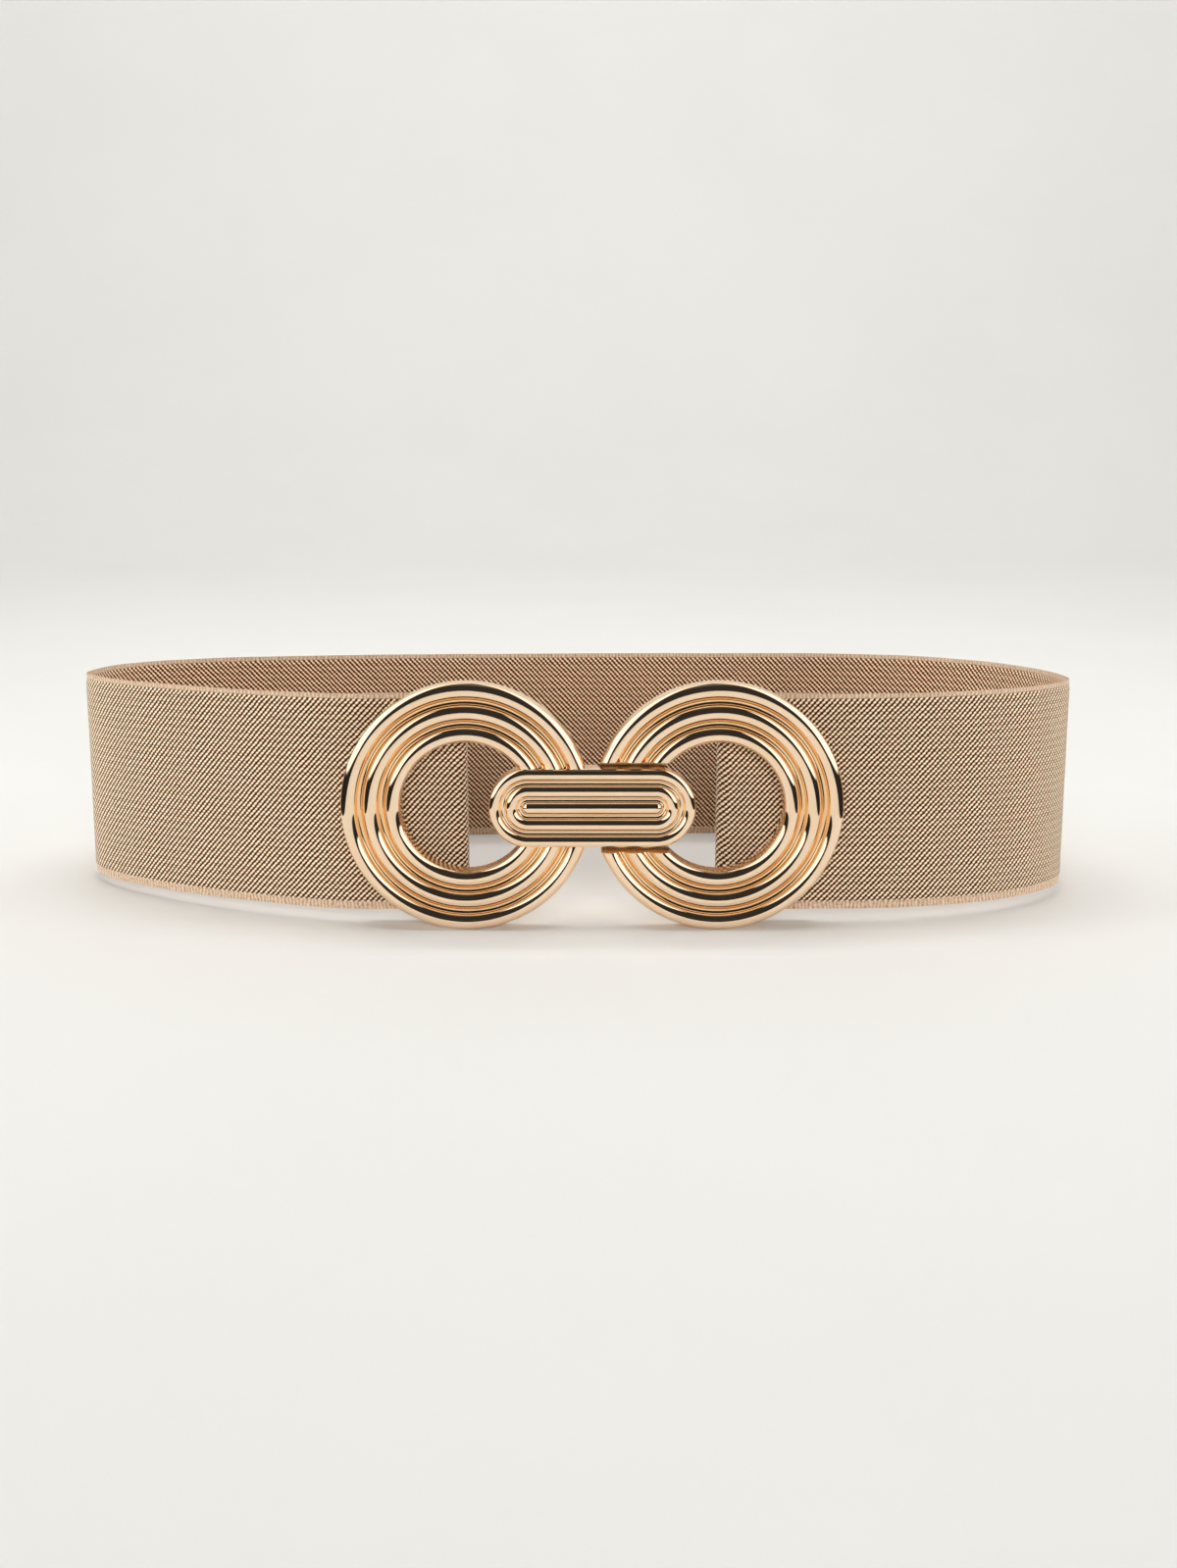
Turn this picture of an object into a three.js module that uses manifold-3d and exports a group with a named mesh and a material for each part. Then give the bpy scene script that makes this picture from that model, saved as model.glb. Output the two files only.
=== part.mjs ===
// Elastic stretch belt, fastened and standing on a table: one strip of elastic webbing
// whose ends fold round the bars behind two cast rings that hook together in front.
//
// Millimetres, +Z up, +X to the right of someone facing the buckle, +Y away from them.
// The belt is modelled upright, with the height of the rings' centres at z = 0 and the
// flat backs of the rings on y = 0. The last section leans it back on the table.

import * as THREE from "three";
import { mergeVertices } from "three/addons/utils/BufferGeometryUtils.js";
import Module from "manifold-3d";

const wasm = await Module();
wasm.setup();

// Webbing
const BAND_WIDTH = 60;
const BAND_THICKNESS = 1.7;
const RETURN_LENGTH = 24; // folded end, from its bar to the cut edge
const RETURN_SETTLES = 9; // length in which the folded end comes down onto the band

// Plan of the loop, to the outer face of the webbing
const LOOP_LEFT = 151; // centre of the buckle to the left end
const LOOP_RIGHT = 139; // centre of the buckle to the right end
const LOOP_DEPTH = 100; // backs of the rings to the back of the loop
const LEFT_END_Y = 50; // how far back the left end lies
const RIGHT_END_Y = 36.5; // how far back the right end lies
const BACK_PEAK_X = 64; // where the back of the loop is farthest from the buckle

// How far each quarter of the loop keeps the way it leaves and the way it arrives, as
// shares of its own width and depth: left front, left back, right back, right front.
const QUARTERS = [
  { leave: 0.25, arrive: 0.39 },
  { leave: 0.71, arrive: 0.86 },
  { leave: 0.66, arrive: 0.52 },
  { leave: 0.25, arrive: 0.75 },
];

// Ridges of the castings: rounded, with hollow channels between them
const RIDGE_SLOPE = Math.PI / 3; // where a ridge meets its channel

// Rings
const RING_RIDGE_WIDTH = 4.15;
const RING_CHANNEL_WIDTH = 1.85;
const RING_RIDGES = 3;
const RING_BEYOND_BAND = 4; // above the webbing's top edge and below its bottom edge
const RING_DEPTH = 7.2; // flat back to the tops of its ridges
const RING_GAP = 0.3; // between the two rings

// Oblong, which is cast with the left ring and crosses both
const OBLONG_RIDGE_WIDTH = 3.15;
const OBLONG_CHANNEL_WIDTH = 1.45;
const OBLONG_RIDGES_EACH_SIDE = 2; // besides the middle one
const OBLONG_STRAIGHT = 34.6; // between the centres of its round ends
const OBLONG_DEPTH = 8; // back of the rings to the tops of its ridges
const RIDGES_END_BELOW = 2.5; // from those tops down to where the left ring's ridges end

// Seat that the oblong lies in, cut through the side of the right ring
const SEAT_FLOOR = 2.4;
const SEAT_CLEARANCE = 1.7; // above and below the oblong
const CASTING_CLEARANCE = 0.4; // between the two castings where one lies in the other

// Hook behind the free end of the oblong, which catches the floor of the seat
const HOOK_HEIGHT = 10;
const HOOK_THICKNESS = 2.4;
const HOOK_REACH = 4; // how far its foot lies behind the floor of the seat

// Bar behind each ring that the webbing folds round, and the two posts that carry it
const BAR_RADIUS = 1.5;
const BAR_CLEARANCE = 0.3; // between the bar and the webbing
const BAND_CLEARANCE = 0.3; // between the ring's back and the webbing
const POST_WIDTH = 3;
const POST_HEIGHT = 2.6;
const POST_ROOT = 2; // how deep a post is cast into its ring
const POST_CLEARANCE = 0.4; // between a post and the webbing's edge

// Facets
const RING_SEGMENTS = 64;
const RIDGE_SEGMENTS = 6;
const CHANNEL_SEGMENTS = 4;
const OBLONG_SEGMENTS = 36;
const QUARTER_SEGMENTS = 18;
const FOLD_SEGMENTS = 8;
const BAR_SEGMENTS = 14;

const WEBBING = new THREE.MeshStandardMaterial({
  name: "webbing",
  color: 0xb39b7c,
  roughness: 0.9,
  metalness: 0,
});
const GOLD = new THREE.MeshStandardMaterial({
  name: "gold",
  color: 0xf0cf9e,
  roughness: 0.12,
  metalness: 1,
});

const RING_RADIUS = BAND_WIDTH / 2 + RING_BEYOND_BAND;
const RING_HOLE_RADIUS =
  RING_RADIUS - RING_RIDGES * RING_RIDGE_WIDTH - (RING_RIDGES - 1) * RING_CHANNEL_WIDTH;
const RING_X = RING_RADIUS + RING_GAP / 2;
const OBLONG_RADIUS =
  OBLONG_RIDGE_WIDTH / 2 +
  OBLONG_RIDGES_EACH_SIDE * (OBLONG_RIDGE_WIDTH + OBLONG_CHANNEL_WIDTH);
const FOLD_RADIUS = BAR_RADIUS + BAR_CLEARANCE + BAND_THICKNESS / 2; // webbing's middle
const BAR_X = RING_X + FOLD_RADIUS + BAND_THICKNESS / 2; // the fold ends at the ring's centre
const BAR_Y = BAND_CLEARANCE + BAND_THICKNESS / 2 + FOLD_RADIUS;

// Solids

function solid(geometry) {
  const shell = geometry.clone();
  shell.deleteAttribute("normal");
  shell.deleteAttribute("uv");
  const merged = mergeVertices(shell, 1e-4);
  return new wasm.Manifold(
    new wasm.Mesh({
      numProp: 3,
      vertProperties: new Float32Array(merged.attributes.position.array),
      triVerts: new Uint32Array(merged.index.array),
    }),
  );
}

function geometryOf(made) {
  const mesh = made.getMesh();
  const geometry = new THREE.BufferGeometry();
  geometry.setAttribute(
    "position",
    new THREE.BufferAttribute(mesh.vertProperties, mesh.numProp),
  );
  geometry.setIndex(new THREE.BufferAttribute(mesh.triVerts, 1));
  geometry.computeVertexNormals();
  return geometry;
}

// A box given by its two corners.
function box(low, high) {
  const size = high.map((value, axis) => value - low[axis]);
  const middle = high.map((value, axis) => (value + low[axis]) / 2);
  return solid(new THREE.BoxGeometry(...size).translate(...middle));
}

// Ridged castings

// Arc of a ridge or channel across its width, as points of radius and depth from the
// outside in. It rises towards -depth if rise is 1, and sinks if it is -1.
function arc(middle, width, edge, rise, segments) {
  const radius = width / 2 / Math.sin(RIDGE_SLOPE);
  const points = [];
  for (let i = 0; i <= segments; i++) {
    const turn = RIDGE_SLOPE * (1 - (2 * i) / segments);
    const height = radius * (Math.cos(turn) - Math.cos(RIDGE_SLOPE));
    points.push(new THREE.Vector2(middle + radius * Math.sin(turn), -edge - rise * height));
  }
  return points;
}

// Ridges side by side with a channel between each two, whose tops are at the depth.
function ridges(outerRadius, count, width, channel, depth) {
  const edge = depth - (width / 2) * Math.tan(RIDGE_SLOPE / 2);
  const points = [];
  for (let i = 0; i < count; i++) {
    const middle = outerRadius - width / 2 - i * (width + channel);
    points.push(...arc(middle, width, edge, 1, RIDGE_SEGMENTS));
    if (i === count - 1) break;
    const hollow = middle - (width + channel) / 2;
    points.push(...arc(hollow, channel, edge, -1, CHANNEL_SEGMENTS).slice(1, -1));
  }
  return points;
}

function ring(x) {
  const profile = [
    new THREE.Vector2(RING_HOLE_RADIUS, 0),
    new THREE.Vector2(RING_RADIUS, 0),
    ...ridges(RING_RADIUS, RING_RIDGES, RING_RIDGE_WIDTH, RING_CHANNEL_WIDTH, RING_DEPTH),
    new THREE.Vector2(RING_HOLE_RADIUS, 0),
  ];
  profile.reverse();
  return solid(new THREE.LatheGeometry(profile, RING_SEGMENTS).translate(x, 0, 0));
}

// A turned disc, pulled apart along X into two round ends and a straight stretch. Its
// profile runs from the axis at the back round to the axis at the front.
function stretchedDisc(profile) {
  const start = Math.PI / OBLONG_SEGMENTS;
  const disc = new THREE.LatheGeometry(profile.toReversed(), OBLONG_SEGMENTS, start);
  const at = disc.attributes.position;
  for (let i = 0; i < at.count; i++) {
    const column = Math.floor(i / profile.length);
    const angle = start + (column * 2 * Math.PI) / OBLONG_SEGMENTS;
    at.setX(i, at.getX(i) + (Math.sign(Math.sin(angle)) * OBLONG_STRAIGHT) / 2);
  }
  return solid(disc);
}

function oblong() {
  const rows = 2 * OBLONG_RIDGES_EACH_SIDE + 1;
  const across = ridges(
    OBLONG_RADIUS,
    rows,
    OBLONG_RIDGE_WIDTH,
    OBLONG_CHANNEL_WIDTH,
    OBLONG_DEPTH,
  );
  return stretchedDisc([
    new THREE.Vector2(0, 0),
    new THREE.Vector2(OBLONG_RADIUS, 0),
    ...across.filter((point) => point.x > 1e-6),
    new THREE.Vector2(0, -OBLONG_DEPTH),
  ]);
}

// The bar that the webbing folds round, on two posts that stand on the ring's back.
function webbingBar(side) {
  const x = side * BAR_X;
  const postFoot = BAND_WIDTH / 2 + POST_CLEARANCE;
  const top = postFoot + POST_HEIGHT;
  let made = solid(
    new THREE.CylinderGeometry(BAR_RADIUS, BAR_RADIUS, 2 * top, BAR_SEGMENTS)
      .rotateX(Math.PI / 2)
      .translate(x, BAR_Y, 0),
  );
  for (const up of [-1, 1]) {
    const ends = [up * postFoot, up * top].sort((a, b) => a - b);
    const post = box(
      [x - POST_WIDTH / 2, -POST_ROOT, ends[0]],
      [x + POST_WIDTH / 2, BAR_Y + BAR_RADIUS, ends[1]],
    );
    made = made.add(post);
  }
  return made;
}

// Left casting: ring, oblong and hook in one. The oblong's back is cut away where it lies
// over the right ring, so that the ring's seat passes behind it.
function leftClasp() {
  const oblongBack = -(SEAT_FLOOR + CASTING_CLEARANCE);
  const overRing = RING_RADIUS + CASTING_CLEARANCE;
  const behindOblong = solid(
    new THREE.CylinderGeometry(overRing, overRing, OBLONG_DEPTH, RING_SEGMENTS).translate(
      RING_X,
      oblongBack + OBLONG_DEPTH / 2,
      0,
    ),
  );
  // The inner edge of the seat's floor is round, and the hook's corners clear it.
  const seatEdge = RING_X - Math.sqrt(RING_HOLE_RADIUS ** 2 - (HOOK_HEIGHT / 2) ** 2);
  const stem = seatEdge + CASTING_CLEARANCE;
  const foot = CASTING_CLEARANCE + HOOK_THICKNESS;
  const hookStem = box(
    [stem, oblongBack - HOOK_THICKNESS / 2, -HOOK_HEIGHT / 2],
    [stem + HOOK_THICKNESS, foot, HOOK_HEIGHT / 2],
  );
  const hookFoot = box(
    [seatEdge - HOOK_REACH, CASTING_CLEARANCE, -HOOK_HEIGHT / 2],
    [stem + HOOK_THICKNESS, foot, HOOK_HEIGHT / 2],
  );
  // The ring's ridges end below the oblong's outermost ridge, clear of its channels.
  const ridgesEnd = OBLONG_RADIUS - OBLONG_RIDGE_WIDTH / 2;
  const endsAt = -(OBLONG_DEPTH - RIDGES_END_BELOW);
  const underOblong = stretchedDisc([
    new THREE.Vector2(0, endsAt),
    new THREE.Vector2(ridgesEnd, endsAt),
    new THREE.Vector2(ridgesEnd, -(OBLONG_DEPTH + 1)),
    new THREE.Vector2(0, -(OBLONG_DEPTH + 1)),
  ]);
  return ring(-RING_X)
    .subtract(underOblong)
    .add(oblong().subtract(behindOblong))
    .add(hookStem)
    .add(hookFoot)
    .add(webbingBar(-1));
}

// Right casting: a ring with the oblong's seat cut through the side that faces the left.
function rightClasp() {
  const seatHalf = OBLONG_RADIUS + SEAT_CLEARANCE;
  const seat = box(
    [RING_X - RING_RADIUS - 1, -(RING_DEPTH + 1), -seatHalf],
    [RING_X, -SEAT_FLOOR, seatHalf],
  );
  return ring(RING_X).subtract(seat).add(webbingBar(1));
}

// Webbing

// One quarter of the loop: it leaves along one axis and arrives along the other.
function quarter(path, x, y, leavesAlongX, { leave, arrive }) {
  const first = path.currentPoint.clone();
  const second = new THREE.Vector2(x, y);
  const run = second.clone().sub(first);
  if (leavesAlongX) {
    first.x += leave * run.x;
    second.y -= arrive * run.y;
  } else {
    first.y += leave * run.y;
    second.x -= arrive * run.x;
  }
  path.bezierCurveTo(first.x, first.y, second.x, second.y, x, y);
}

// The middle of the webbing in plan, from the cut edge of the left folded end, round the
// left bar, round the loop and round the right bar to the other cut edge.
function webbingPath() {
  const half = BAND_THICKNESS / 2;
  const front = BAR_Y - FOLD_RADIUS;
  const behindBar = BAR_Y + FOLD_RADIUS;
  const settled = front + BAND_THICKNESS + BAND_CLEARANCE;
  const returnEnd = BAR_X + RETURN_LENGTH;
  const settledX = BAR_X + RETURN_SETTLES;
  const bend = RETURN_SETTLES / 2;
  const path = new THREE.Path();

  path.moveTo(-returnEnd, settled);
  path.lineTo(-settledX, settled);
  path.bezierCurveTo(-settledX + bend, settled, -BAR_X - bend, behindBar, -BAR_X, behindBar);
  path.absarc(-BAR_X, BAR_Y, FOLD_RADIUS, Math.PI / 2, -Math.PI / 2, true);
  path.lineTo(-returnEnd, front);
  quarter(path, -LOOP_LEFT + half, LEFT_END_Y, true, QUARTERS[0]);
  quarter(path, BACK_PEAK_X, LOOP_DEPTH - half, false, QUARTERS[1]);
  quarter(path, LOOP_RIGHT - half, RIGHT_END_Y, true, QUARTERS[2]);
  quarter(path, returnEnd, front, false, QUARTERS[3]);
  path.lineTo(BAR_X, front);
  path.absarc(BAR_X, BAR_Y, FOLD_RADIUS, -Math.PI / 2, Math.PI / 2, true);
  path.bezierCurveTo(BAR_X + bend, behindBar, settledX - bend, settled, settledX, settled);
  path.lineTo(returnEnd, settled);
  return path;
}

// Points along the path, with more on the loop's quarters than on the small bends.
function pathPoints(path) {
  const points = [];
  for (const curve of path.curves) {
    const length = curve.getLength();
    let steps = FOLD_SEGMENTS;
    if (curve.isLineCurve) steps = 1;
    else if (length > 3 * RETURN_LENGTH) steps = QUARTER_SEGMENTS;
    for (const point of curve.getPoints(steps)) {
      const last = points.at(-1);
      if (!last || last.distanceTo(point) > 1e-3) points.push(point);
    }
  }
  return points;
}

// The path's points moved sideways, square to the path.
function beside(points, distance) {
  return points.map((point, i) => {
    const before = points[Math.max(i - 1, 0)];
    const after = points[Math.min(i + 1, points.length - 1)];
    const into = new THREE.Vector2().subVectors(point, before).normalize();
    const out = new THREE.Vector2().subVectors(after, point).normalize();
    const along = into.clone().add(out).normalize();
    const across = new THREE.Vector2(-along.y, along.x);
    const bisected = i > 0 && i < points.length - 1 ? along.dot(out) : 1;
    return point.clone().addScaledVector(across, distance / bisected);
  });
}

function webbing() {
  const middle = pathPoints(webbingPath());
  const outline = new THREE.Shape([
    ...beside(middle, BAND_THICKNESS / 2),
    ...beside(middle, -BAND_THICKNESS / 2).reverse(),
  ]);
  return new THREE.ExtrudeGeometry(outline, {
    depth: BAND_WIDTH,
    bevelEnabled: false,
    steps: 1,
  }).translate(0, 0, -BAND_WIDTH / 2);
}

// Assembly

function part(name, geometry, material) {
  const mesh = new THREE.Mesh(geometry, material);
  mesh.name = name;
  return mesh;
}

const belt = new THREE.Group();
belt.add(part("elastic_band", webbing(), WEBBING));
belt.add(part("left_clasp", geometryOf(leftClasp()), GOLD));
belt.add(part("right_clasp", geometryOf(rightClasp()), GOLD));

// The rings reach lower than the webbing, so the belt leans back on the rings and on the
// webbing's back edge. The origin is under the middle of the leaning belt.
belt.rotation.x = -Math.atan2(RING_BEYOND_BAND, LOOP_DEPTH);
const stand = new THREE.Group();
stand.add(belt);
const space = new THREE.Box3().setFromObject(stand, true);
belt.position.set(
  -(space.min.x + space.max.x) / 2,
  -(space.min.y + space.max.y) / 2,
  -space.min.z,
);

export default stand;
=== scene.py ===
from math import atan2, cos, pi, radians, sin, sqrt, tan

import bmesh
import bpy
from mathutils import Matrix, Vector


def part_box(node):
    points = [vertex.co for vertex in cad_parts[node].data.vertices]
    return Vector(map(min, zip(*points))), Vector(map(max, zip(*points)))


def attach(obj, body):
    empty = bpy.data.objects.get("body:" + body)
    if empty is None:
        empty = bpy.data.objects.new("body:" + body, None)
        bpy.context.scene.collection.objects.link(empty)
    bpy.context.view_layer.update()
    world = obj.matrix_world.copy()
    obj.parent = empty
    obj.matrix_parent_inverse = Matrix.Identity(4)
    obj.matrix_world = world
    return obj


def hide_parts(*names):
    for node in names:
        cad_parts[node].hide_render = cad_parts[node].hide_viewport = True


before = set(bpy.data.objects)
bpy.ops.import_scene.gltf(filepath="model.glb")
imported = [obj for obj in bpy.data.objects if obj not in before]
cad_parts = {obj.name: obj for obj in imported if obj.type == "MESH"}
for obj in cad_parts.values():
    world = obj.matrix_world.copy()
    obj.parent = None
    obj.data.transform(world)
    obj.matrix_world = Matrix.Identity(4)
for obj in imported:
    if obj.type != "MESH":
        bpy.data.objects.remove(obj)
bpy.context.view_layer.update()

# The webbing: one strip of elastic, woven from tan and brown yarn over rubber cords, with a
# plain edge on each side. Each end folds back round a bar behind a ring. The strip is one
# cross-section carried along its path.
MM = 0.001
WEBBING_WIDTH = 60 * MM
WEBBING_THICKNESS = 1.7 * MM
EDGE_THICKNESS = 1.3 * MM
FOLDED_END = 24 * MM
FOLDED_END_SETTLES = 9 * MM
LAYER_GAP = 0.3 * MM
LOOP_DEPTH = 100 * MM
LOOP_LEFT, LOOP_RIGHT = -151 * MM, 139 * MM
LEFT_END_Y, RIGHT_END_Y = 50 * MM, 36.5 * MM
BACK_PEAK_X = 64 * MM
RING_BEYOND_WEBBING = 4 * MM
RINGS_APART = 0.3 * MM
BAR_RADIUS = 1.5 * MM
BAR_CLEARANCE = 0.3 * MM
WELD_DISTANCE = 0.002 * MM
CLOTH_CREASE = radians(60)

RING_RADIUS = WEBBING_WIDTH / 2 + RING_BEYOND_WEBBING
RING_X = RING_RADIUS + RINGS_APART / 2
FOLD_RADIUS = BAR_RADIUS + BAR_CLEARANCE + WEBBING_THICKNESS / 2
BAR_X = RING_X + FOLD_RADIUS + WEBBING_THICKNESS / 2
BAR_Y = LAYER_GAP + WEBBING_THICKNESS / 2 + FOLD_RADIUS

# The rings reach lower than the webbing, so the belt leans back on them and on the webbing's
# back edge. Each piece is made upright, with the backs of the rings on y = 0 and their
# centres at z = 0, and is then leaned by STANCE.
lean = atan2(RING_BEYOND_WEBBING, LOOP_DEPTH)
left_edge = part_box("left_clasp")[0].x
right_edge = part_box("right_clasp")[1].x
loop_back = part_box("elastic_band")[1].y
STANCE = Matrix.Translation((
    (left_edge + right_edge) / 2,
    loop_back - LOOP_DEPTH * cos(lean) - WEBBING_WIDTH / 2 * sin(lean),
    RING_RADIUS * cos(lean),
)) @ Matrix.Rotation(-lean, 4, "X")


class Wire:
    """An output of a node. Arithmetic on it adds Math nodes to its tree."""

    def __init__(self, tree, socket):
        self.tree = tree
        self.socket = socket

    def maths(self, operation, *values):
        settings = {"operation": operation}
        return self.tree.add("ShaderNodeMath", settings, dict(enumerate(values)))["Value"]

    def __add__(self, other):
        return self.maths("ADD", self, other)

    def __sub__(self, other):
        return self.maths("SUBTRACT", self, other)

    def __rsub__(self, other):
        return self.maths("SUBTRACT", other, self)

    def __mul__(self, other):
        return self.maths("MULTIPLY", self, other)

    def __truediv__(self, other):
        return self.maths("DIVIDE", self, other)

    def __rtruediv__(self, other):
        return self.maths("DIVIDE", other, self)

    def __abs__(self):
        return self.maths("ABSOLUTE", self)

    __radd__ = __add__
    __rmul__ = __mul__

    def floor(self):
        return self.maths("FLOOR", self)

    def sign(self):
        return self.maths("SIGN", self)

    def cosine(self):
        return self.maths("COSINE", self)

    def between(self, low, high):
        """0 below low and 1 above high, with a smooth step from one to the other."""
        settings = {"interpolation_type": "SMOOTHSTEP"}
        limits = {"Value": self, "From Min": low, "From Max": high}
        return self.tree.add("ShaderNodeMapRange", settings, limits)["Result"]


class Tree:
    """A shader, world or geometry node tree that is written as formulas."""

    def __init__(self, data):
        self.data = data

    def add(self, kind, settings=None, sockets=None):
        """A new node of this kind, as its outputs by name. A list joins several wires."""
        node = self.data.nodes.new(kind)
        for name, value in (settings or {}).items():
            if name == "stops":
                stops = node.color_ramp.elements
                stops.remove(stops[1])
                stops[0].position, stops[0].color = value[0]
                for place, colour in value[1:]:
                    stops.new(place).color = colour
            else:
                setattr(node, name, value)
        inputs = [socket for socket in node.inputs if socket.enabled]
        for key, value in (sockets or {}).items():
            target = inputs[key] if isinstance(key, int) else next(s for s in inputs if s.name == key)
            for given in value if isinstance(value, list) else [value]:
                if isinstance(given, Wire):
                    self.data.links.new(given.socket, target)
                else:
                    target.default_value = given
        return {s.name: Wire(self, s) for s in reversed(node.outputs) if s.enabled}

    def mix(self, factor, first, second, blend="MIX"):
        """Two colours mixed by a factor."""
        settings = {"data_type": "RGBA", "blend_type": blend}
        return self.add("ShaderNodeMix", settings, {"Factor": factor, "A": first, "B": second})["Result"]


def put_in_scene(name, data):
    """A new object in the scene with this mesh, curve, lamp or camera."""
    made = bpy.data.objects.new(name, data)
    bpy.context.scene.collection.objects.link(made)
    return made


def geometry_tree(name, sizes):
    """A geometry tree with named inputs, given with their socket types, and its inputs."""
    data = bpy.data.node_groups.new(name, "GeometryNodeTree")
    data.interface.new_socket("Geometry", in_out="OUTPUT", socket_type="NodeSocketGeometry")
    for label, kind in sizes.items():
        data.interface.new_socket(label, in_out="INPUT", socket_type="NodeSocket" + kind)
    tree = Tree(data)
    return tree, tree.add("NodeGroupInput")


def finish_tree(tree, geometry, material):
    """Ends a geometry tree with real geometry that has the material."""
    real = tree.add("GeometryNodeRealizeInstances", sockets={"Geometry": geometry})["Geometry"]
    made = tree.add("GeometryNodeSetMaterial", sockets={"Geometry": real, "Material": material})
    tree.add("NodeGroupOutput", sockets={"Geometry": made["Geometry"]})


def keep_result(piece):
    """Turns what a piece's modifiers make into its plain mesh."""
    graph = bpy.context.evaluated_depsgraph_get()
    made = bpy.data.meshes.new_from_object(piece.evaluated_get(graph), depsgraph=graph)
    piece.modifiers.clear()
    piece.data = made


def grow(name, tree, values):
    """A plain mesh object with what the geometry tree makes of these values."""
    piece = put_in_scene(name, bpy.data.meshes.new(name))
    modifier = piece.modifiers.new(name, "NODES")
    modifier.node_group = tree.data
    for item in tree.data.interface.items_tree:
        if item.in_out == "INPUT" and item.name in values:
            modifier[item.identifier] = values[item.name]
    keep_result(piece)
    return piece


def close_up(piece, place, crease):
    """Welds a piece's mesh, turns its faces out, puts it in its place and smooths it."""
    shell = bmesh.new()
    shell.from_mesh(piece.data)
    bmesh.ops.remove_doubles(shell, verts=shell.verts, dist=WELD_DISTANCE)
    bmesh.ops.recalc_face_normals(shell, faces=shell.faces)
    shell.to_mesh(piece.data)
    shell.free()
    piece.data.transform(place)
    piece.data.shade_smooth()
    piece.data.set_sharp_from_angle(angle=crease)
    piece.data.update()
    return piece


def drawn_line(name, points, closed):
    """A curve object through points in a plane, for a tree to use."""
    curve = bpy.data.curves.new(name, "CURVE")
    curve.dimensions = "3D"
    line = curve.splines.new("POLY")
    line.points.add(len(points) - 1)
    for point, (x, y) in zip(line.points, points):
        point.co = (x, y, 0, 1)
    line.use_cyclic_u = closed
    return put_in_scene(name, curve)


def new_material(name):
    """A material and its empty tree."""
    material = bpy.data.materials.new(name)
    material.use_nodes = True
    material.node_tree.nodes.clear()
    return material, Tree(material.node_tree)


def webbing_path():
    """The webbing's middle in plan, as Bezier segments of start, two handles and end."""
    front = BAR_Y - FOLD_RADIUS
    behind_bar = BAR_Y + FOLD_RADIUS
    settled = front + WEBBING_THICKNESS + LAYER_GAP
    end_x = BAR_X + FOLDED_END
    settled_x = BAR_X + FOLDED_END_SETTLES
    half = WEBBING_THICKNESS / 2
    segments = []
    here = Vector((-end_x, settled))

    def bend(first, second, end):
        nonlocal here
        segments.append((here, Vector(first), Vector(second), Vector(end)))
        here = Vector(end)

    def straight(x, y):
        end = Vector((x, y))
        bend(here.lerp(end, 1 / 3), here.lerp(end, 2 / 3), end)

    def settle(side, outwards):
        far = (side * settled_x, settled)
        near = (side * BAR_X, behind_bar)
        far_handle = (side * (settled_x - FOLDED_END_SETTLES / 2), settled)
        near_handle = (side * (BAR_X + FOLDED_END_SETTLES / 2), behind_bar)
        if outwards:
            bend(near_handle, far_handle, far)
        else:
            bend(far_handle, near_handle, near)

    def round_bar(side, to_back):
        handle = FOLD_RADIUS * 4 / 3 * tan(pi / 8)
        turn = 1 if to_back else -1
        start_y, end_y = BAR_Y - turn * FOLD_RADIUS, BAR_Y + turn * FOLD_RADIUS
        fold_x = side * (BAR_X - FOLD_RADIUS)
        outer = side * (BAR_X - handle)
        bend((outer, start_y), (fold_x, BAR_Y - turn * handle), (fold_x, BAR_Y))
        bend((fold_x, BAR_Y + turn * handle), (outer, end_y), (side * BAR_X, end_y))

    def quarter(x, y, leaves_along_x, leave, arrive):
        run = Vector((x, y)) - here
        if leaves_along_x:
            bend((here.x + leave * run.x, here.y), (x, y - arrive * run.y), (x, y))
        else:
            bend((here.x, here.y + leave * run.y), (x - arrive * run.x, y), (x, y))

    straight(-settled_x, settled)
    settle(-1, outwards=False)
    round_bar(-1, to_back=False)
    straight(-end_x, front)
    quarter(LOOP_LEFT + half, LEFT_END_Y, leaves_along_x=True, leave=0.25, arrive=0.39)
    quarter(BACK_PEAK_X, LOOP_DEPTH - half, leaves_along_x=False, leave=0.71, arrive=0.86)
    quarter(LOOP_RIGHT - half, RIGHT_END_Y, leaves_along_x=True, leave=0.66, arrive=0.52)
    quarter(end_x, front, leaves_along_x=False, leave=0.25, arrive=0.75)
    straight(BAR_X, front)
    round_bar(1, to_back=True)
    settle(1, outwards=True)
    straight(end_x, settled)
    return segments


def webbing_section():
    """The webbing cut across, as points of thickness and width. It thins towards its edges,
    and each edge has a small hollow on both sides of its middle line."""
    half_width = WEBBING_WIDTH / 2
    hollow = EDGE_THICKNESS / 2
    hollow_steps = 6
    thin_up_to, thinning_width = 1.7, 0.9  # in millimetres, as the insets are
    side = []
    for i in range(1, hollow_steps + 1):
        angle = i / hollow_steps * pi / 2
        side.append((hollow * sin(angle), half_width - hollow * cos(angle)))
    for inset in (1.2, 1.7, 2.2, 2.6, 3.2, 5, 8, 12, 16, 20, 25, 30):
        step = min(max((inset - thin_up_to) / thinning_width, 0), 1)
        swell = step * step * (3 - 2 * step)
        thickness = EDGE_THICKNESS + swell * (WEBBING_THICKNESS - EDGE_THICKNESS)
        side.append((thickness / 2, half_width - inset * MM))
    back = side + [(x, -y) for x, y in reversed(side[:-1])]
    front = [(-x, y) for x, y in reversed(back)]
    return [(0, half_width)] + back + [(0, -half_width)] + front


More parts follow.
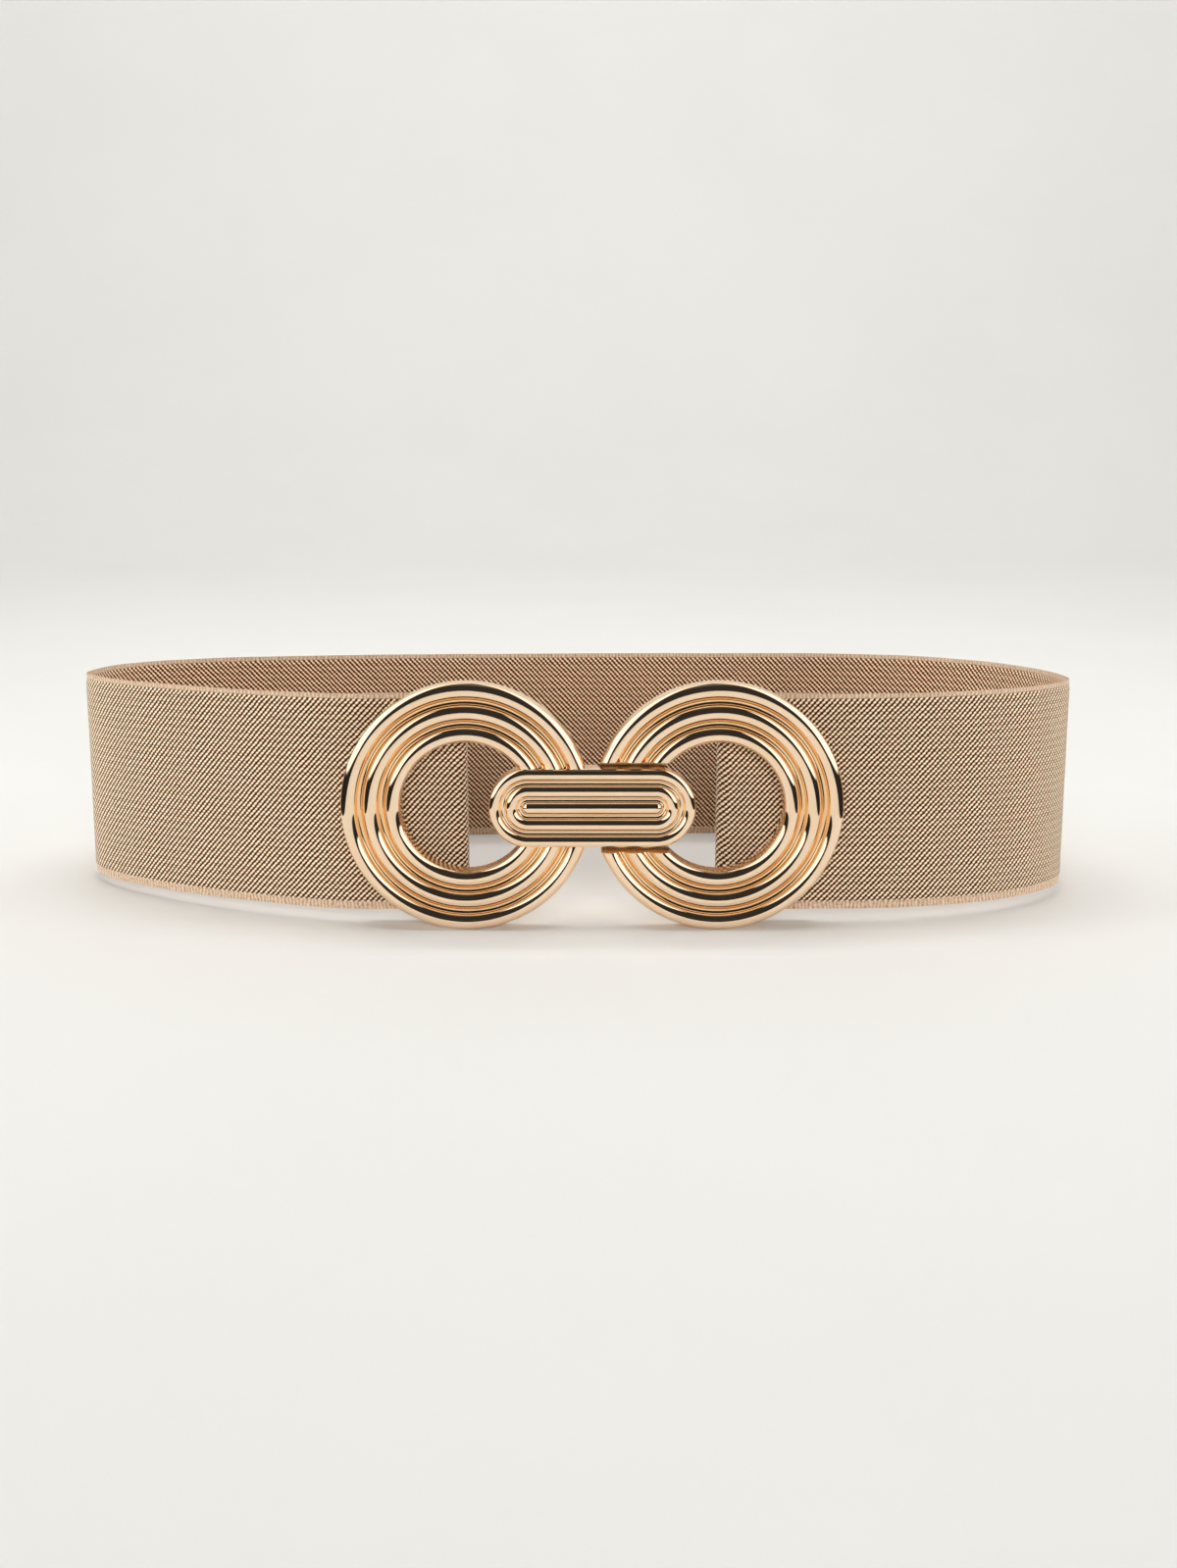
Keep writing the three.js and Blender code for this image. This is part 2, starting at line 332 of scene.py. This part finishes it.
def webbing_material():
    """Tan and brown yarn in slanting rows of small lumps, with plain edges. The gaps between the lumps are
    painted near-black as painted shade, and their tops pale as painted highlight.
    """
    material, tree = new_material("woven_elastic")
    wale = 1.55 * MM
    pick = 0.72 * MM
    edge_pick = 1.1 * MM
    row_shift = 0.22
    middle_band = 0.1 * MM
    face_shift = 20 * MM
    plain_top, plain_bottom = (28.6 * MM, 29.1 * MM), (27.5 * MM, 28.1 * MM)
    along = tree.add("ShaderNodeAttribute", {"attribute_name": "along"})["Fac"]
    across = tree.add("ShaderNodeAttribute", {"attribute_name": "across"})["Fac"]
    inward = tree.add("ShaderNodeAttribute", {"attribute_name": "inward"})["Fac"]
    inside = inward.between(-middle_band, middle_band)
    place = {"X": along, "Y": across, "Z": inside * face_shift}
    spot = tree.add("ShaderNodeCombineXYZ", sockets=place)["Vector"]

    def noise(scale):
        sockets = {"Vector": spot, "Scale": scale, "Detail": 1.0, "Roughness": 0.5}
        return tree.add("ShaderNodeTexNoise", sockets=sockets)["Fac"] - 0.5

    wander = noise(scale=240)
    rows = across / pick + noise(scale=320) * 0.5
    columns = along / wale + wander * 0.3 + rows.floor() * row_shift + rows * row_shift
    slant = 0.5 + 0.5 * (columns * (2 * pi)).cosine()
    lumps = 0.5 - 0.5 * (rows * (2 * pi)).cosine()
    cords = 0.5 + 0.5 * (rows * (2 * pi / 3)).cosine()
    lump = slant * (0.5 + 0.5 * lumps) + 0.10 * cords + noise(scale=1100) * 0.32
    # The yarn colour follows the lumps' height. The near-black in the gaps between lumps is painted shade,
    # and the palest cream on their tops is the tan yarn with a painted highlight.
    yarn_with_painted_shade = tree.add("ShaderNodeValToRGB", {"stops": [
        (0.22, (0.030, 0.010, 0.003, 1)),
        (0.33, (0.110, 0.048, 0.020, 1)),
        (0.43, (0.430, 0.250, 0.138, 1)),
        (0.53, (0.860, 0.590, 0.380, 1)),
        (0.75, (1.000, 0.825, 0.620, 1)),
    ]}, {"Fac": lump})["Color"]
    tint = tree.add("ShaderNodeValToRGB", {"stops": [
        (0.35, (1.0, 0.90, 0.84, 1)),
        (0.50, (1.0, 1.0, 1.0, 1)),
        (0.65, (0.94, 1.0, 0.92, 1)),
    ]}, {"Fac": noise(scale=620) + 0.5})["Color"]
    tinted = tree.mix(0.6, yarn_with_painted_shade, tint, "MULTIPLY")
    ruddy_inside = tree.mix(inside, tinted, (0.98, 0.88, 0.82, 1), "MULTIPLY")

    threads = 0.5 + 0.5 * (along * (2 * pi / edge_pick) + wander * 12).cosine()
    edge_light = 0.25 + 0.5 * threads + noise(scale=1300) * 1.2
    edge_yarn = tree.mix(edge_light, (0.34, 0.215, 0.135, 1), (0.84, 0.64, 0.46, 1))
    top_edge = across.between(*plain_top)
    bottom_edge = (0 - across).between(*plain_bottom)
    edge = top_edge + bottom_edge
    colour = tree.mix(edge, ruddy_inside, edge_yarn)
    height = lump * (1 - edge) + edge * (0.45 + 0.12 * threads)
    bump = {"Strength": 0.8, "Distance": 0.35 * MM, "Height": height}
    cloth = tree.add("ShaderNodeBsdfPrincipled", sockets={
        "Base Color": colour,
        "Roughness": 0.88 - 0.18 * lump.between(0.3, 1.0),
        "Normal": tree.add("ShaderNodeBump", sockets=bump)["Normal"],
        "Specular IOR Level": 0.35,
        "Sheen Weight": 0.45,
        "Sheen Roughness": 0.45,
        "Sheen Tint": (1.0, 0.88, 0.74, 1),
    })
    tree.add("ShaderNodeOutputMaterial", sockets={"Surface": cloth["BSDF"]})
    return material


path_curve = bpy.data.curves.new("webbing_path", "CURVE")
path_curve.dimensions = "3D"
path_curve.resolution_u = 64
segments = webbing_path()
course = path_curve.splines.new("BEZIER")
course.bezier_points.add(len(segments))
for knot in course.bezier_points:
    knot.handle_left_type = knot.handle_right_type = "FREE"
for i, (start, first, second, end) in enumerate(segments):
    course.bezier_points[i].co = start.to_3d()
    course.bezier_points[i].handle_right = first.to_3d()
    course.bezier_points[i + 1].handle_left = second.to_3d()
    course.bezier_points[i + 1].co = end.to_3d()
course.bezier_points[0].handle_left = segments[0][0].to_3d()
course.bezier_points[-1].handle_right = segments[-1][3].to_3d()
path_line = put_in_scene("webbing_path", path_curve)
section_line = drawn_line("webbing_section", webbing_section(), closed=True)

tree, sizes = geometry_tree("webbing", {
    "Path": "Object", "Section": "Object", "Spacing": "Float", "Ripple": "Float", "Material": "Material",
})
path = tree.add("GeometryNodeObjectInfo", sockets={"Object": sizes["Path"]})["Geometry"]
path = tree.add("GeometryNodeResampleCurve", {"mode": "LENGTH"},
                {"Curve": path, "Length": sizes["Spacing"]})["Curve"]
path = tree.add("GeometryNodeSetCurveNormal", {"mode": "Z_UP"}, {"Curve": path})["Curve"]
length = tree.add("GeometryNodeSplineParameter")["Length"]
path = tree.add("GeometryNodeStoreNamedAttribute",
                sockets={"Geometry": path, "Name": "along", "Value": length})["Geometry"]
section = tree.add("GeometryNodeObjectInfo", sockets={"Object": sizes["Section"]})["Geometry"]
position = tree.add("GeometryNodeInputPosition")["Position"]
place = tree.add("ShaderNodeSeparateXYZ", sockets={"Vector": position})
for name, value in (("across", 0 - place["Y"]), ("inward", place["X"])):
    section = tree.add("GeometryNodeStoreNamedAttribute",
                       sockets={"Geometry": section, "Name": name, "Value": value})["Geometry"]
strip = tree.add("GeometryNodeCurveToMesh",
                 sockets={"Curve": path, "Profile Curve": section, "Fill Caps": True})["Mesh"]
wave = tree.add("ShaderNodeTexNoise", sockets={"Vector": position, "Scale": 55.0, "Detail": 2.0})["Fac"]
ripple = {"Vector": tree.add("GeometryNodeInputNormal")["Normal"], "Scale": (wave - 0.5) * sizes["Ripple"]}
offset = tree.add("ShaderNodeVectorMath", {"operation": "SCALE"}, ripple)["Vector"]
strip = tree.add("GeometryNodeSetPosition", sockets={"Geometry": strip, "Offset": offset})["Geometry"]
finish_tree(tree, strip, sizes["Material"])

webbing = grow("webbing", tree, {
    "Path": path_line, "Section": section_line, "Spacing": 0.9 * MM, "Ripple": 0.35 * MM,
    "Material": webbing_material(),
})
for line in (path_line, section_line):
    bpy.data.objects.remove(line)
close_up(webbing, STANCE, CLOTH_CREASE)
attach(webbing, "root")
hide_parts("elastic_band")

# The stitches: two rows of tan thread sew each folded end to the webbing. They lie behind
# the rings in the photograph, so their place is a guess. Each stitch is one long bead of
# thread, on the front and on the back.
SEAM_X = 54.2 * MM
SEAM_ROWS_APART = 2.8 * MM
SEAM_LENGTH = 50 * MM
STITCH_PITCH = 2.6 * MM
STITCH_HALF_LENGTH = 0.4 * STITCH_PITCH
THREAD_RADIUS = 0.2 * MM


def thread_material():
    """Twisted polyester thread."""
    material, tree = new_material("tan_thread")
    place = tree.add("ShaderNodeTexCoord")["Object"]
    ply = tree.add("ShaderNodeTexWave", {"bands_direction": "DIAGONAL"},
                   {"Vector": place, "Scale": 1400.0, "Distortion": 1.0})["Fac"]
    bump = {"Strength": 0.5, "Distance": 0.05 * MM, "Height": ply}
    thread = tree.add("ShaderNodeBsdfPrincipled", sockets={
        "Base Color": tree.mix(ply, (0.30, 0.20, 0.13, 1), (0.58, 0.43, 0.30, 1)),
        "Roughness": 0.6,
        "Normal": tree.add("ShaderNodeBump", sockets=bump)["Normal"],
    })
    tree.add("ShaderNodeOutputMaterial", sockets={"Surface": thread["BSDF"]})
    return material


tree, sizes = geometry_tree("folded_end_stitches", {
    "Rows apart": "Float", "Seam length": "Float", "Stitches": "Int", "Stitch size": "Vector",
    "Place": "Vector", "Through": "Vector", "Material": "Material",
})
rows = tree.add("GeometryNodeMeshGrid", sockets={
    "Size X": sizes["Rows apart"], "Size Y": sizes["Seam length"], "Vertices X": 2,
    "Vertices Y": sizes["Stitches"],
})["Mesh"]
upright = tree.add("GeometryNodeTransform", sockets={
    "Geometry": rows, "Translation": sizes["Place"], "Rotation": (pi / 2, 0, 0),
})["Geometry"]
behind = tree.add("GeometryNodeTransform",
                  sockets={"Geometry": upright, "Translation": sizes["Through"]})["Geometry"]
both_faces = tree.add("GeometryNodeJoinGeometry", sockets={"Geometry": [upright, behind]})["Geometry"]
stitch = tree.add("GeometryNodeMeshUVSphere", sockets={"Segments": 8, "Rings": 7, "Radius": 1.0})["Mesh"]
stitches = tree.add("GeometryNodeInstanceOnPoints", sockets={
    "Points": both_faces, "Instance": stitch, "Scale": sizes["Stitch size"],
})["Instances"]
finish_tree(tree, stitches, sizes["Material"])

thread = thread_material()
front_face = BAR_Y - FOLD_RADIUS - WEBBING_THICKNESS / 2
back_face = front_face + 2 * WEBBING_THICKNESS + LAYER_GAP
for name, side in (("left_seam", -1), ("right_seam", 1)):
    seam = grow(name, tree, {
        "Rows apart": SEAM_ROWS_APART,
        "Seam length": SEAM_LENGTH,
        "Stitches": round(SEAM_LENGTH / STITCH_PITCH) + 1,
        "Stitch size": (THREAD_RADIUS, THREAD_RADIUS, STITCH_HALF_LENGTH),
        "Place": (side * SEAM_X, front_face, 0),
        "Through": (0, back_face - front_face, 0),
        "Material": thread,
    })
    close_up(seam, STANCE, CLOTH_CREASE)
    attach(seam, "root")

# The two ring castings, plated light gold, with rounded ridges and hollow channels. The oblong
# is cast with the left ring and lies in a seat cut through the right one, where a hook behind
# it holds. A bar on two posts behind each ring carries the webbing's fold.
RIDGE_SLOPE = radians(66)
RIDGE_STEPS, CHANNEL_STEPS = 18, 12
RING_DEPTH = 7.2 * MM
RING_RIDGE, RING_CHANNEL = 4.15 * MM, 1.85 * MM
RING_RIDGES = 3
RING_CHAMFER = 0.35 * MM
RING_STEPS = 256
OBLONG_DEPTH = 8 * MM
OBLONG_RIDGE, OBLONG_CHANNEL = 3.15 * MM, 1.45 * MM
OBLONG_RIDGES_EACH_SIDE = 2
OBLONG_CHAMFER = 0.3 * MM
OBLONG_STRAIGHT = 34.6 * MM
OBLONG_STEPS = 192
RIDGES_END_BELOW = 2.5 * MM
SEAT_FLOOR = 2.4 * MM
SEAT_CLEARANCE = 1.7 * MM
CASTING_CLEARANCE = 0.4 * MM
HOOK_HEIGHT, HOOK_THICKNESS, HOOK_REACH = 10 * MM, 2.4 * MM, 4 * MM
HOOK_BEVEL = 0.3 * MM
POST_WIDTH, POST_HEIGHT, POST_ROOT, POST_CLEARANCE = 3 * MM, 2.6 * MM, 2 * MM, 0.4 * MM
POST_BEVEL = 0.35 * MM
BAR_END_INSET = 0.2 * MM
OVERCUT = 1 * MM
TURNING_CIRCLE = 1 * MM
CASTING_CREASE = radians(40)
FACING = Matrix.Rotation(pi / 2, 4, "X")

OBLONG_RADIUS = OBLONG_RIDGE / 2 + OBLONG_RIDGES_EACH_SIDE * (OBLONG_RIDGE + OBLONG_CHANNEL)
RING_HOLE = RING_RADIUS - RING_RIDGES * RING_RIDGE - (RING_RIDGES - 1) * RING_CHANNEL


def gold_material():
    """Light gold plate on a polished casting, duller in the hollows, where its colour is painted deeper and
    more orange as painted shade and painted reflection of the gold beside them.
    """
    material, tree = new_material("light_gold_plate")
    channel_floor, ridge_foot, ridge_shoulder = 4.6 * MM, 5.3 * MM, 6.6 * MM
    front = STANCE.to_3x3() @ Vector((0, -1, 0))
    place = tree.add("ShaderNodeTexCoord")["Object"]
    cloud = tree.add("ShaderNodeTexNoise", sockets={"Vector": place, "Scale": 90.0, "Detail": 3.0})["Fac"]
    grain = tree.add("ShaderNodeTexNoise", sockets={"Vector": place, "Scale": 1500.0, "Detail": 2.0})["Fac"]
    forward = tree.add("ShaderNodeVectorMath", {"operation": "DOT_PRODUCT"},
                       {0: place, 1: tuple(front)})["Value"]
    height = forward - front.dot(STANCE.to_translation())
    # Below the ridges' shoulders, in the channels and on the side walls, the colour is painted deeper and
    # more orange. This is painted shade and painted reflection of the neighbouring gold. The cloud adds a
    # random tone on top.
    hollow = 1 - height.between(ridge_foot, ridge_shoulder)
    deep = 1 - height.between(channel_floor, ridge_foot)
    tone_and_painted_shade = 0.75 * hollow + 0.2 * cloud.between(0.35, 0.75)
    pitting = {"Strength": 0.12, "Distance": 0.02 * MM, "Height": cloud + 0.3 * grain}
    plate = tree.add("ShaderNodeBsdfPrincipled", sockets={
        "Base Color": tree.mix(tone_and_painted_shade, (1.000, 0.780, 0.565, 1), (0.950, 0.610, 0.315, 1)),
        "Metallic": 1.0,
        "Roughness": 0.035 + 0.03 * grain + 0.2 * deep,
        "Normal": tree.add("ShaderNodeBump", sockets=pitting)["Normal"],
    })
    tree.add("ShaderNodeOutputMaterial", sockets={"Surface": plate["BSDF"]})
    return material


def arc_across(middle, width, edge, rise, steps):
    """A ridge (rise 1) or channel (rise -1) across its width, as radius and height."""
    radius = width / 2 / sin(RIDGE_SLOPE)
    points = []
    for i in range(steps + 1):
        turn = RIDGE_SLOPE * (1 - 2 * i / steps)
        height = radius * (cos(turn) - cos(RIDGE_SLOPE))
        points.append((middle + radius * sin(turn), edge + rise * height))
    return points


def ridges(outer, count, width, channel, depth):
    """Ridges with a channel between each two, from the outside in."""
    edge = depth - width / 2 * tan(RIDGE_SLOPE / 2)
    points = []
    for i in range(count):
        middle = outer - width / 2 - i * (width + channel)
        points += arc_across(middle, width, edge, 1, RIDGE_STEPS)
        if i < count - 1:
            points += arc_across(middle - (width + channel) / 2, channel, edge, -1, CHANNEL_STEPS)[1:-1]
    return points


def rounded_corner(wall, inwards, edge):
    """The rounded corner where a straight wall meets the outermost ridge."""
    wall_ends = (wall, edge - 0.45 * MM)
    halfway = (wall - inwards * 0.012 * MM, edge - 0.2 * MM)
    ridge_starts = (wall - inwards * 0.05 * MM, edge)
    return [wall_ends, halfway, ridge_starts]


def ring_section():
    """A ring cut across, from its outer wall over its ridges to its hole."""
    across = ridges(RING_RADIUS, RING_RIDGES, RING_RIDGE, RING_CHANNEL, RING_DEPTH)
    edge = across[0][1]
    outer_wall = [(RING_RADIUS - RING_CHAMFER, 0), (RING_RADIUS, RING_CHAMFER)]
    outer_wall += rounded_corner(RING_RADIUS, 1, edge)
    hole_wall = rounded_corner(RING_HOLE, -1, edge)[::-1]
    hole_wall += [(RING_HOLE, RING_CHAMFER), (RING_HOLE + RING_CHAMFER, 0)]
    return outer_wall + across[1:-1] + hole_wall


def oblong_section():
    """Half of the oblong cut across, from the middle of its back to the middle of its front."""
    close_to_axis = 1e-6
    count = 2 * OBLONG_RIDGES_EACH_SIDE + 1
    across = ridges(OBLONG_RADIUS, count, OBLONG_RIDGE, OBLONG_CHANNEL, OBLONG_DEPTH)
    outer_wall = [(0, 0), (OBLONG_RADIUS - OBLONG_CHAMFER, 0), (OBLONG_RADIUS, OBLONG_CHAMFER)]
    outer_wall += rounded_corner(OBLONG_RADIUS, 1, across[0][1])
    ridged = [point for point in across[1:] if point[0] > close_to_axis]
    return outer_wall + ridged + [(0, OBLONG_DEPTH)]


def scrap(name, shell):
    """A mesh object that goes into a casting and is then thrown away."""
    mesh = bpy.data.meshes.new(name)
    shell.to_mesh(mesh)
    shell.free()
    return put_in_scene(name, mesh)


def block(low, high, bevel=0.0):
    """A box given by its two corners, with its edges rounded."""
    shell = bmesh.new()
    bmesh.ops.create_cube(shell, size=1)
    size = [b - a for a, b in zip(low, high)]
    middle = [(a + b) / 2 for a, b in zip(low, high)]
    bmesh.ops.scale(shell, vec=size, verts=shell.verts)
    bmesh.ops.translate(shell, vec=middle, verts=shell.verts)
    if bevel:
        bmesh.ops.bevel(shell, geom=shell.edges[:], offset=bevel, segments=3, profile=0.5, affect="EDGES")
    return scrap("block", shell)


def rod(start, end, radius, sides=48):
    """A round bar between two points."""
    shell = bmesh.new()
    run = Vector(end) - Vector(start)
    middle = Matrix.Translation((Vector(start) + Vector(end)) / 2)
    place = middle @ run.to_track_quat("Z", "Y").to_matrix().to_4x4()
    bmesh.ops.create_cone(shell, cap_ends=True, segments=sides, radius1=radius, radius2=radius,
                          depth=run.length, matrix=place)
    return scrap("rod", shell)


def join(body, others, operation):
    """Casts other pieces onto a body, or cuts them out of it."""
    for other in others:
        boolean = body.modifiers.new("join", "BOOLEAN")
        boolean.operation = operation
        boolean.solver = "MANIFOLD"
        boolean.object = other
    keep_result(body)
    for other in others:
        bpy.data.objects.remove(other)


tree, sizes = geometry_tree("turned_casting", {
    "Section": "Object", "Steps": "Int", "Straight": "Float", "Material": "Material",
})
circle = tree.add("GeometryNodeCurvePrimitiveCircle",
                  sockets={"Resolution": sizes["Steps"], "Radius": TURNING_CIRCLE})["Curve"]
circle = tree.add("GeometryNodeSetCurveNormal", {"mode": "Z_UP"}, {"Curve": circle})["Curve"]
position = tree.add("GeometryNodeInputPosition")["Position"]
towards_end = tree.add("ShaderNodeSeparateXYZ", sockets={"Vector": position})["X"].sign()
circle = tree.add("GeometryNodeStoreNamedAttribute",
                  sockets={"Geometry": circle, "Name": "end", "Value": towards_end})["Geometry"]
section = tree.add("GeometryNodeObjectInfo", sockets={"Object": sizes["Section"]})["Geometry"]
turned = tree.add("GeometryNodeCurveToMesh", sockets={"Curve": circle, "Profile Curve": section})["Mesh"]
end = tree.add("GeometryNodeInputNamedAttribute", {"data_type": "FLOAT"}, {"Name": "end"})["Attribute"]
pulled = tree.add("ShaderNodeCombineXYZ", sockets={"X": end * sizes["Straight"] * 0.5})["Vector"]
turned = tree.add("GeometryNodeSetPosition", sockets={"Geometry": turned, "Offset": pulled})["Geometry"]
finish_tree(tree, turned, sizes["Material"])

gold = gold_material()


def turned_casting(name, section, x, steps, straight=0.0):
    """A section of radius and height turned round an axis, and pulled apart along X."""
    open_at_axis = section[0][0] == 0
    points = [(radius - TURNING_CIRCLE, -height) for radius, height in section]
    line = drawn_line(name + "_section", points, closed=not open_at_axis)
    piece = grow(name, tree, {"Section": line, "Steps": steps, "Straight": straight, "Material": gold})
    bpy.data.objects.remove(line)
    return close_up(piece, Matrix.Translation((x, 0, 0)) @ FACING, CASTING_CREASE)


def webbing_bar(side):
    """The bar that the webbing folds round, and the two posts that carry it."""
    x = side * BAR_X
    foot = WEBBING_WIDTH / 2 + POST_CLEARANCE
    top = foot + POST_HEIGHT
    end = top - BAR_END_INSET
    pieces = [rod((x, BAR_Y, -end), (x, BAR_Y, end), BAR_RADIUS)]
    for low, high in ((-top, -foot), (foot, top)):
        pieces.append(block((x - POST_WIDTH / 2, -POST_ROOT, low),
                            (x + POST_WIDTH / 2, BAR_Y + BAR_RADIUS, high), POST_BEVEL))
    return pieces


left_casting = turned_casting("left_casting", ring_section(), -RING_X, RING_STEPS)
oblong = turned_casting("oblong", oblong_section(), 0, OBLONG_STEPS, OBLONG_STRAIGHT)
oblong_back = -(SEAT_FLOOR + CASTING_CLEARANCE)
over_right_ring = rod((RING_X, oblong_back, 0), (RING_X, 2 * OVERCUT, 0),
                      RING_RADIUS + CASTING_CLEARANCE, RING_STEPS)
join(oblong, [over_right_ring], "DIFFERENCE")
seat_edge = RING_X - sqrt(RING_HOLE ** 2 - (HOOK_HEIGHT / 2) ** 2)
stem = seat_edge + CASTING_CLEARANCE
foot = CASTING_CLEARANCE + HOOK_THICKNESS
hook_stem = block((stem, oblong_back - HOOK_THICKNESS / 2, -HOOK_HEIGHT / 2),
                  (stem + HOOK_THICKNESS, foot, HOOK_HEIGHT / 2), HOOK_BEVEL)
hook_foot = block((seat_edge - HOOK_REACH, CASTING_CLEARANCE, -HOOK_HEIGHT / 2),
                  (stem + HOOK_THICKNESS, foot, HOOK_HEIGHT / 2), HOOK_BEVEL)

# Under the oblong the left ring's ridges are cut away, so that they don't fill its channels.
cut_radius = OBLONG_RADIUS - OBLONG_RIDGE / 2
cut_low, cut_high = OBLONG_DEPTH - RIDGES_END_BELOW, OBLONG_DEPTH + OVERCUT
cut_section = [(0, cut_low), (cut_radius, cut_low), (cut_radius, cut_high), (0, cut_high)]
under_oblong = turned_casting("under_oblong", cut_section, 0, OBLONG_STEPS, OBLONG_STRAIGHT)
join(left_casting, [under_oblong], "DIFFERENCE")
join(left_casting, [oblong, hook_stem, hook_foot] + webbing_bar(-1), "UNION")

right_casting = turned_casting("right_casting", ring_section(), RING_X, RING_STEPS)
seat_half = OBLONG_RADIUS + SEAT_CLEARANCE
seat = block((RING_X - RING_RADIUS - OVERCUT, -RING_DEPTH - OVERCUT, -seat_half),
             (RING_X, -SEAT_FLOOR, seat_half))
join(right_casting, [seat], "DIFFERENCE")
join(right_casting, webbing_bar(1), "UNION")

for casting, node in ((left_casting, "left_clasp"), (right_casting, "right_clasp")):
    close_up(casting, STANCE, CASTING_CREASE)
    casting.data.materials.clear()
    casting.data.materials.append(gold)
    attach(casting, "root")
    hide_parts(node)

# The table and backdrop: one sheet of off-white paper that lies under the belt and curves up
# behind it.
PAPER_HALF_WIDTH = 3.0
PAPER_FRONT = -2.5
PAPER_BEND_START = 0.9
PAPER_BEND_RADIUS = 0.8
PAPER_BEND_STEPS = 32
PAPER_TOP = 3.2

profile = [(PAPER_FRONT, 0.0)]
for i in range(PAPER_BEND_STEPS + 1):
    turn = i / PAPER_BEND_STEPS * pi / 2
    y = PAPER_BEND_START + PAPER_BEND_RADIUS * sin(turn)
    profile.append((y, PAPER_BEND_RADIUS * (1 - cos(turn))))
profile.append((PAPER_BEND_START + PAPER_BEND_RADIUS, PAPER_TOP))
corners = [(x, y, z) for y, z in profile for x in (-PAPER_HALF_WIDTH, PAPER_HALF_WIDTH)]
faces = [(2 * i, 2 * i + 1, 2 * i + 3, 2 * i + 2) for i in range(len(profile) - 1)]
paper_mesh = bpy.data.meshes.new("paper")
paper_mesh.from_pydata(corners, [], faces)
paper_mesh.shade_smooth()
paper = put_in_scene("paper", paper_mesh)

off_white, tree = new_material("off_white_paper")
place = tree.add("ShaderNodeTexCoord")["Object"]
fibres = tree.add("ShaderNodeTexNoise", sockets={"Vector": place, "Scale": 6.0, "Detail": 4.0})["Fac"]
paper_face = tree.add("ShaderNodeBsdfPrincipled", sockets={
    "Base Color": tree.mix(fibres.between(0.3, 0.7), (0.865, 0.855, 0.820, 1), (0.880, 0.870, 0.838, 1)),
    "Roughness": 0.7,
    "Specular IOR Level": 0.2,
})
tree.add("ShaderNodeOutputMaterial", sockets={"Surface": paper_face["BSDF"]})
paper_mesh.materials.append(off_white)

# Two low cards of black paper that stand one on each side of the belt, outside the picture,
# where only the polished gold sees them.
CARD_X = 0.185
CARD_FRONT, CARD_BACK = -1.0, 0.03
CARD_HEIGHT = 0.05

card_outline = [(CARD_FRONT, 0), (CARD_BACK, 0), (CARD_BACK, CARD_HEIGHT), (CARD_FRONT, CARD_HEIGHT)]
black, tree = new_material("black_card")
card_face = tree.add("ShaderNodeBsdfDiffuse", sockets={"Color": (0.02, 0.02, 0.02, 1)})
tree.add("ShaderNodeOutputMaterial", sockets={"Surface": card_face["BSDF"]})
for name, x in (("left_card", -CARD_X), ("right_card", CARD_X)):
    card_mesh = bpy.data.meshes.new(name)
    card_mesh.from_pydata([(x, y, z) for y, z in card_outline], [], [(0, 1, 2, 3)])
    card_mesh.materials.append(black)
    card = put_in_scene(name, card_mesh)
    card.visible_camera = False
    card.visible_diffuse = False
    card.visible_shadow = False

# The light: soft lamps that the gold doesn't mirror, and a tent whose white walls only the
# gold mirrors. It is open overhead and towards the camera, which leaves the dark bands on the
# polished ridges.
WALL_X, WALL_Y, WALL_Z = 0.821, 0.501, -0.273
OPENING_GLOW, WALL_GLOW, OVERHEAD_GLOW = 0.032, 1.6, 0.10

world = bpy.data.worlds.new("tent")
bpy.context.scene.world = world
world.use_nodes = True
world.node_tree.nodes.clear()
tree = Tree(world.node_tree)
direction = tree.add("ShaderNodeTexCoord")["Generated"]
towards = tree.add("ShaderNodeSeparateXYZ", sockets={"Vector": direction})
wall_side = WALL_X * abs(towards["X"]) + WALL_Y * towards["Y"] + WALL_Z * towards["Z"]
cloth_walls = wall_side.between(-0.02, 0.03) * towards["Z"].between(0.06, 0.12)
overhead = towards["Z"].between(0.93, 0.99)
mirrored = tree.add("ShaderNodeLightPath")["Is Glossy Ray"]
glow = OPENING_GLOW + WALL_GLOW * mirrored * cloth_walls + OVERHEAD_GLOW * overhead
sky = tree.add("ShaderNodeBackground", sockets={"Color": (1.0, 0.985, 0.955, 1), "Strength": glow})
tree.add("ShaderNodeOutputWorld", sockets={"Surface": sky["Background"]})

for name, size, energy, place, aim, spread in (
    ("backdrop_light", (3.0, 0.6), 25, (0, 0.55, 2.0), (0, 1.7, 1.3), 180),
    ("top_light", (0.9, 0.7), 5.9, (0, 0.0, 1.1), (0, 0, 0), 180),
    ("front_light", (2.4, 1.2), 62, (0, -3.0, 1.1), (0, 0, 0), 180),
    ("left_light", (0.6, 0.4), 1.9, (-2.0, -0.1, 0.32), (0, 0, 0.03), 50),
    ("right_light", (0.6, 0.4), 1.5, (2.0, -0.1, 0.32), (0, 0, 0.03), 50),
):
    light = bpy.data.lights.new(name, "AREA")
    light.shape = "RECTANGLE"
    light.size, light.size_y = size
    light.energy = energy
    light.spread = radians(spread)
    lamp = put_in_scene(name, light)
    lamp.location = place
    lamp.rotation_euler = (Vector(aim) - Vector(place)).to_track_quat("-Z", "Y").to_euler()
    lamp.visible_glossy = False

# The camera looks straight along the belt's depth and a little down. Its place and lens were
# fitted to the edges of the webbing and of the rings in the photograph.
CAMERA_PLACE = (0.0050, -0.5035, 0.1457)
CAMERA_TILT_DOWN = 13.09

camera_data = bpy.data.cameras.new("camera")
camera_data.sensor_width = 36
camera_data.lens = 39.44
camera_data.clip_start = 0.01
camera = put_in_scene("camera", camera_data)
camera.location = CAMERA_PLACE
camera.rotation_euler = (radians(90 - CAMERA_TILT_DOWN), 0, 0)
bpy.context.scene.camera = camera
bpy.context.scene.view_settings.view_transform = "Standard"
